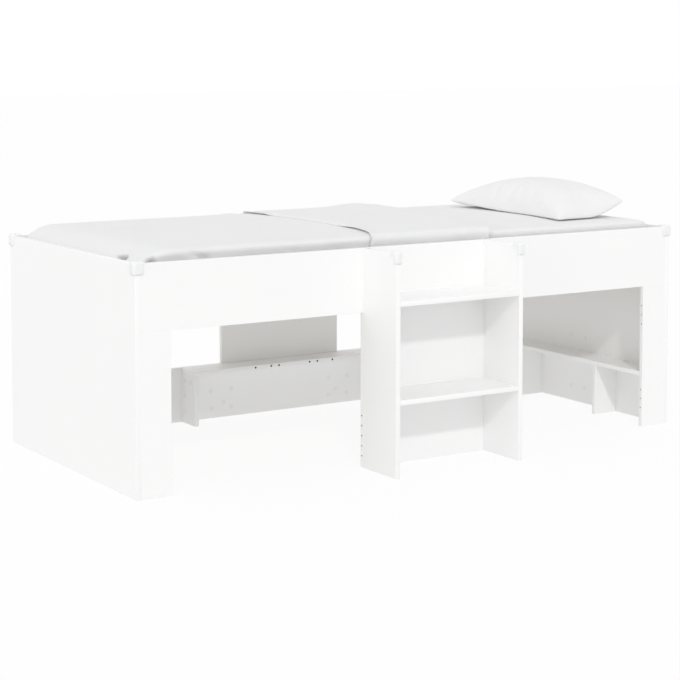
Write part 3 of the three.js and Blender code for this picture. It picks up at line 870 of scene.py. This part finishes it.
# Pillow: its fold lines come from a case filled by simulation, its form is a crowned cushion drawn to four corners
pillowFacts = {
    "length": 0.70, "width": 0.385, "cell": 0.0078, "start": 0.012,
    "rise": 0.1170, "underside": 0.0018, "edge powers": (2.871, 2.197), "top roundness": 0.534, "base roundness": 0.15,
    "lean": 0.10, "side share": 0.9402, "side pull": 0.113, "end share": 1.0, "end pull": 0.0146,
    "spread power": 1.5, "tip power": 1.5, "clearance": 0.0012,
    "folds": 0.45, "softening": 14, "seam share": 1 / 9,  # the outer share that keeps clear of folds and softening
    "corners": {(-1, 1): (0.6620, 0.4230, 0.7450), (-1, -1): (0.6460, -0.2420, 0.7265),
                (1, -1): (0.9506, -0.2275, 0.7775), (1, 1): (0.9853, 0.3926, 0.7864)},
    "pressure": 5.0, "frames": 22, "light smoothing": 2, "heavy smoothing": 40,
    "cloth": {"quality": 6, "mass": 0.25, "tension_stiffness": 30, "compression_stiffness": 14,
              "shear_stiffness": 10, "bending_stiffness": 0.5},
}


def soften(piece, passes, group=""):
    softer = piece.modifiers.new("softer", "SMOOTH")
    softer.factor, softer.iterations, softer.vertex_group = 0.5, passes, group
    applyModifier(piece, softer)


def fillCase(piece):  # lets the flat case swell, and gives back its small folds alone
    facts = pillowFacts
    cloth = piece.modifiers.new("filling", "CLOTH")
    for name, value in facts["cloth"].items():
        setattr(cloth.settings, name, value)
    cloth.settings.use_pressure = True
    cloth.settings.uniform_pressure_force = facts["pressure"]
    cloth.settings.effector_weights.gravity = 0
    cloth.point_cache.frame_end = facts["frames"]
    for step in range(1, facts["frames"] + 1):
        scene.frame_set(step)
    applyModifier(piece, cloth)
    scene.frame_set(1)
    stages = []
    for passes in (facts["light smoothing"], facts["heavy smoothing"]):
        soften(piece, passes)
        stages.append(np.array([v.co for v in piece.data.vertices]))
    print("pillow case swelled to", np.round(stages[0].max(0) - stages[0].min(0), 3))
    return stages[0] - stages[1]


def signedPower(values, power):
    return np.sign(values) * np.abs(values) ** power


def makeCase():  # two flat layers that share their rim
    facts = pillowFacts
    nx, ny = round(facts["width"] / facts["cell"]), round(facts["length"] / facts["cell"])
    shape = bmesh.new()
    for side in (1, -1):
        def onLayer(u, v):
            z = side * facts["start"] * math.sqrt(max(0, (1 - u * u) * (1 - v * v)))
            return u * facts["width"] / 2, v * facts["length"] / 2, z
        addGrid(shape, nx, ny, onLayer, side < 0)
    bmesh.ops.remove_doubles(shape, verts=shape.verts, dist=1e-6)
    mesh = bpy.data.meshes.new("pillowCase")
    layer = shape.loops.layers.uv.new("flat")
    for part in shape.faces:
        for loop in part.loops:
            loop[layer].uv = (loop.vert.co.x, loop.vert.co.y)
    shape.to_mesh(mesh)
    shape.free()
    piece = bpy.data.objects.new("pillowFilled", mesh)
    scene.collection.objects.link(piece)
    return piece


def makePillow():
    facts = pillowFacts
    piece = makeCase()
    flat = np.array([v.co for v in piece.data.vertices])
    u, v = 2 * flat[:, 0] / facts["width"], 2 * flat[:, 1] / facts["length"]
    folds = fillCase(piece)
    powers = facts["edge powers"]
    full = np.clip((1 - np.abs(u) ** powers[0]) * (1 - np.abs(v) ** powers[1]), 0, 1)
    leaning = full ** facts["top roundness"] * (1 + facts["lean"] * (u - v) / 2)
    height = np.where(flat[:, 2] > 0, facts["rise"] * leaning / leaning.max(),
                      -facts["underside"] * full ** facts["base roundness"])
    floorZ = mattressHigh.z + facts["clearance"]
    co = np.column_stack([
        flat[:, 0] * (facts["side share"] - facts["side pull"] * (1 - v * v)),
        flat[:, 1] * (facts["end share"] - facts["end pull"] * (1 - u * u)),
        height + floorZ + facts["underside"]])
    spreadU, spreadV = (signedPower(values, facts["spread power"]) for values in (u, v))
    tipU, tipV = (signedPower(values, facts["tip power"]) for values in (u, v))
    moved = co.copy()
    for (cu, cv), target in facts["corners"].items():
        offset = np.array(target) - co[int(np.argmax(cu * u + cv * v))]
        spread = (1 + cu * spreadU) * (1 + cv * spreadV) / 4
        tip = np.clip(cu * tipU, 0, 1) * np.clip(cv * tipV, 0, 1)
        moved += np.column_stack([spread * offset[0], spread * offset[1], tip * offset[2]])
    sinking = np.where(flat[:, 2] < 0, full ** facts["base roundness"], 0)  # the underside reaches down to the sheet
    moved[:, 2] -= sinking * (floorZ - sheetHeight(moved) - facts["clearance"])
    piece.data.vertices.foreach_set("co", moved.ravel())
    inside = np.clip(np.minimum(1 - np.abs(u), 1 - np.abs(v)) / facts["seam share"], 0, 1)
    inner = piece.vertex_groups.new(name="inner")
    for index, value in enumerate(inside):
        inner.add([index], float(value), "REPLACE")
    soften(piece, facts["softening"], inner.name)
    piece.vertex_groups.clear()
    moved = np.array([v.co for v in piece.data.vertices]) + folds * (facts["folds"] * inside)[:, None]
    moved[:, 2] = np.maximum(moved[:, 2], sheetHeight(moved) + facts["clearance"])
    piece.data.vertices.foreach_set("co", moved.ravel())
    piece.data.update()
    finer = piece.modifiers.new("finer", "SUBSURF")
    finer.levels = finer.render_levels = 1
    applyModifier(piece, finer)
    piece.data.materials.append(pillowCloth)
    smoothShade(piece)
    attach(piece, "loose_pillow")
    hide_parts("pillow")
    return piece


pillow = makePillow()
print("pillow made:", len(pillow.data.polygons), "faces")

# Floor, world and lamps: the pale floor lights the space under the bed, and takes a faint shadow
lightFacts = {
    "key": 0.674, "key softness": 3, "travel": (0.329, 0.734, -0.593),
    "fill": 0.435, "fill softness": 50, "fill travel": (0.99, 0.1, -0.08), "lamp place": (-3, -5, 5),
    "sky": 0.812, "floor": 0.93, "floor drift": 0.01, "drift size": 0.7, "floor width": 80, "floor drop": 0.0003,
    "glow": 0.815, "glow share": 0.85, "white share": 0.9,
}
selectNothing()
bpy.ops.mesh.primitive_plane_add(size=lightFacts["floor width"], location=(0, 0, -lightFacts["floor drop"]))
floor = bpy.context.object
floor.name = "studioFloor"
floorTones = [(tone, tone, tone, 1) for tone in (lightFacts["floor"], lightFacts["floor"] + lightFacts["floor drift"])]
floorFinish, floorShader, floorCloud = mottled("paleFloor", {"Roughness": 1.0, "Specular IOR Level": 0.0},
                                               lightFacts["drift size"], *floorTones)
seen = floorCloud.node("LightPath", output="Is Camera Ray")
glow = lightFacts["glow"] + (1 - lightFacts["glow"]) * seen
shine = floorCloud.node("Emission", None, {"Color": (1, 1, 1, 1), "Strength": glow})
share = lightFacts["glow share"] + (lightFacts["white share"] - lightFacts["glow share"]) * seen
floorTree = floorFinish.node_tree
mixShader = floorTree.nodes.new("ShaderNodeMixShader")
for source, target in ((share.socket, mixShader.inputs[0]), (floorShader.outputs[0], mixShader.inputs[1]),
                       (shine.socket, mixShader.inputs[2]),
                       (mixShader.outputs[0], floorTree.nodes["Material Output"].inputs[0])):
    floorTree.links.new(source, target)
floor.data.materials.append(floorFinish)

world = bpy.data.worlds.new("paleStudio")
scene.world = world
world.use_nodes = True
worldTree = world.node_tree
background = worldTree.nodes["Background"]
path = worldTree.nodes.new("ShaderNodeLightPath")
cameraRay, glossyRay, clearRay = (Signal(worldTree, path.outputs[f"Is {kind} Ray"])
                                  for kind in ("Camera", "Glossy", "Transmission"))
direct = cameraRay.maths("MAXIMUM", cameraRay, glossyRay.maths("MAXIMUM", glossyRay, clearRay))
strength = direct + (1 - direct) * lightFacts["sky"]  # white where it is seen or mirrored, dimmer as a light
background.inputs["Color"].default_value = (1, 1, 1, 1)
worldTree.links.new(strength.socket, background.inputs["Strength"])


def addSun(name, travel, energy, softness):
    bpy.ops.object.light_add(type="SUN", location=lightFacts["lamp place"])
    lamp = bpy.context.object
    lamp.name = name
    lamp.rotation_euler = Vector((0, 0, -1)).rotation_difference(Vector(travel)).to_euler()
    lamp.data.energy = energy
    lamp.data.angle = math.radians(softness)


addSun("keyLight", lightFacts["travel"], lightFacts["key"], lightFacts["key softness"])
addSun("fillLight", lightFacts["fill travel"], lightFacts["fill"], lightFacts["fill softness"])
print("light and floor ready")
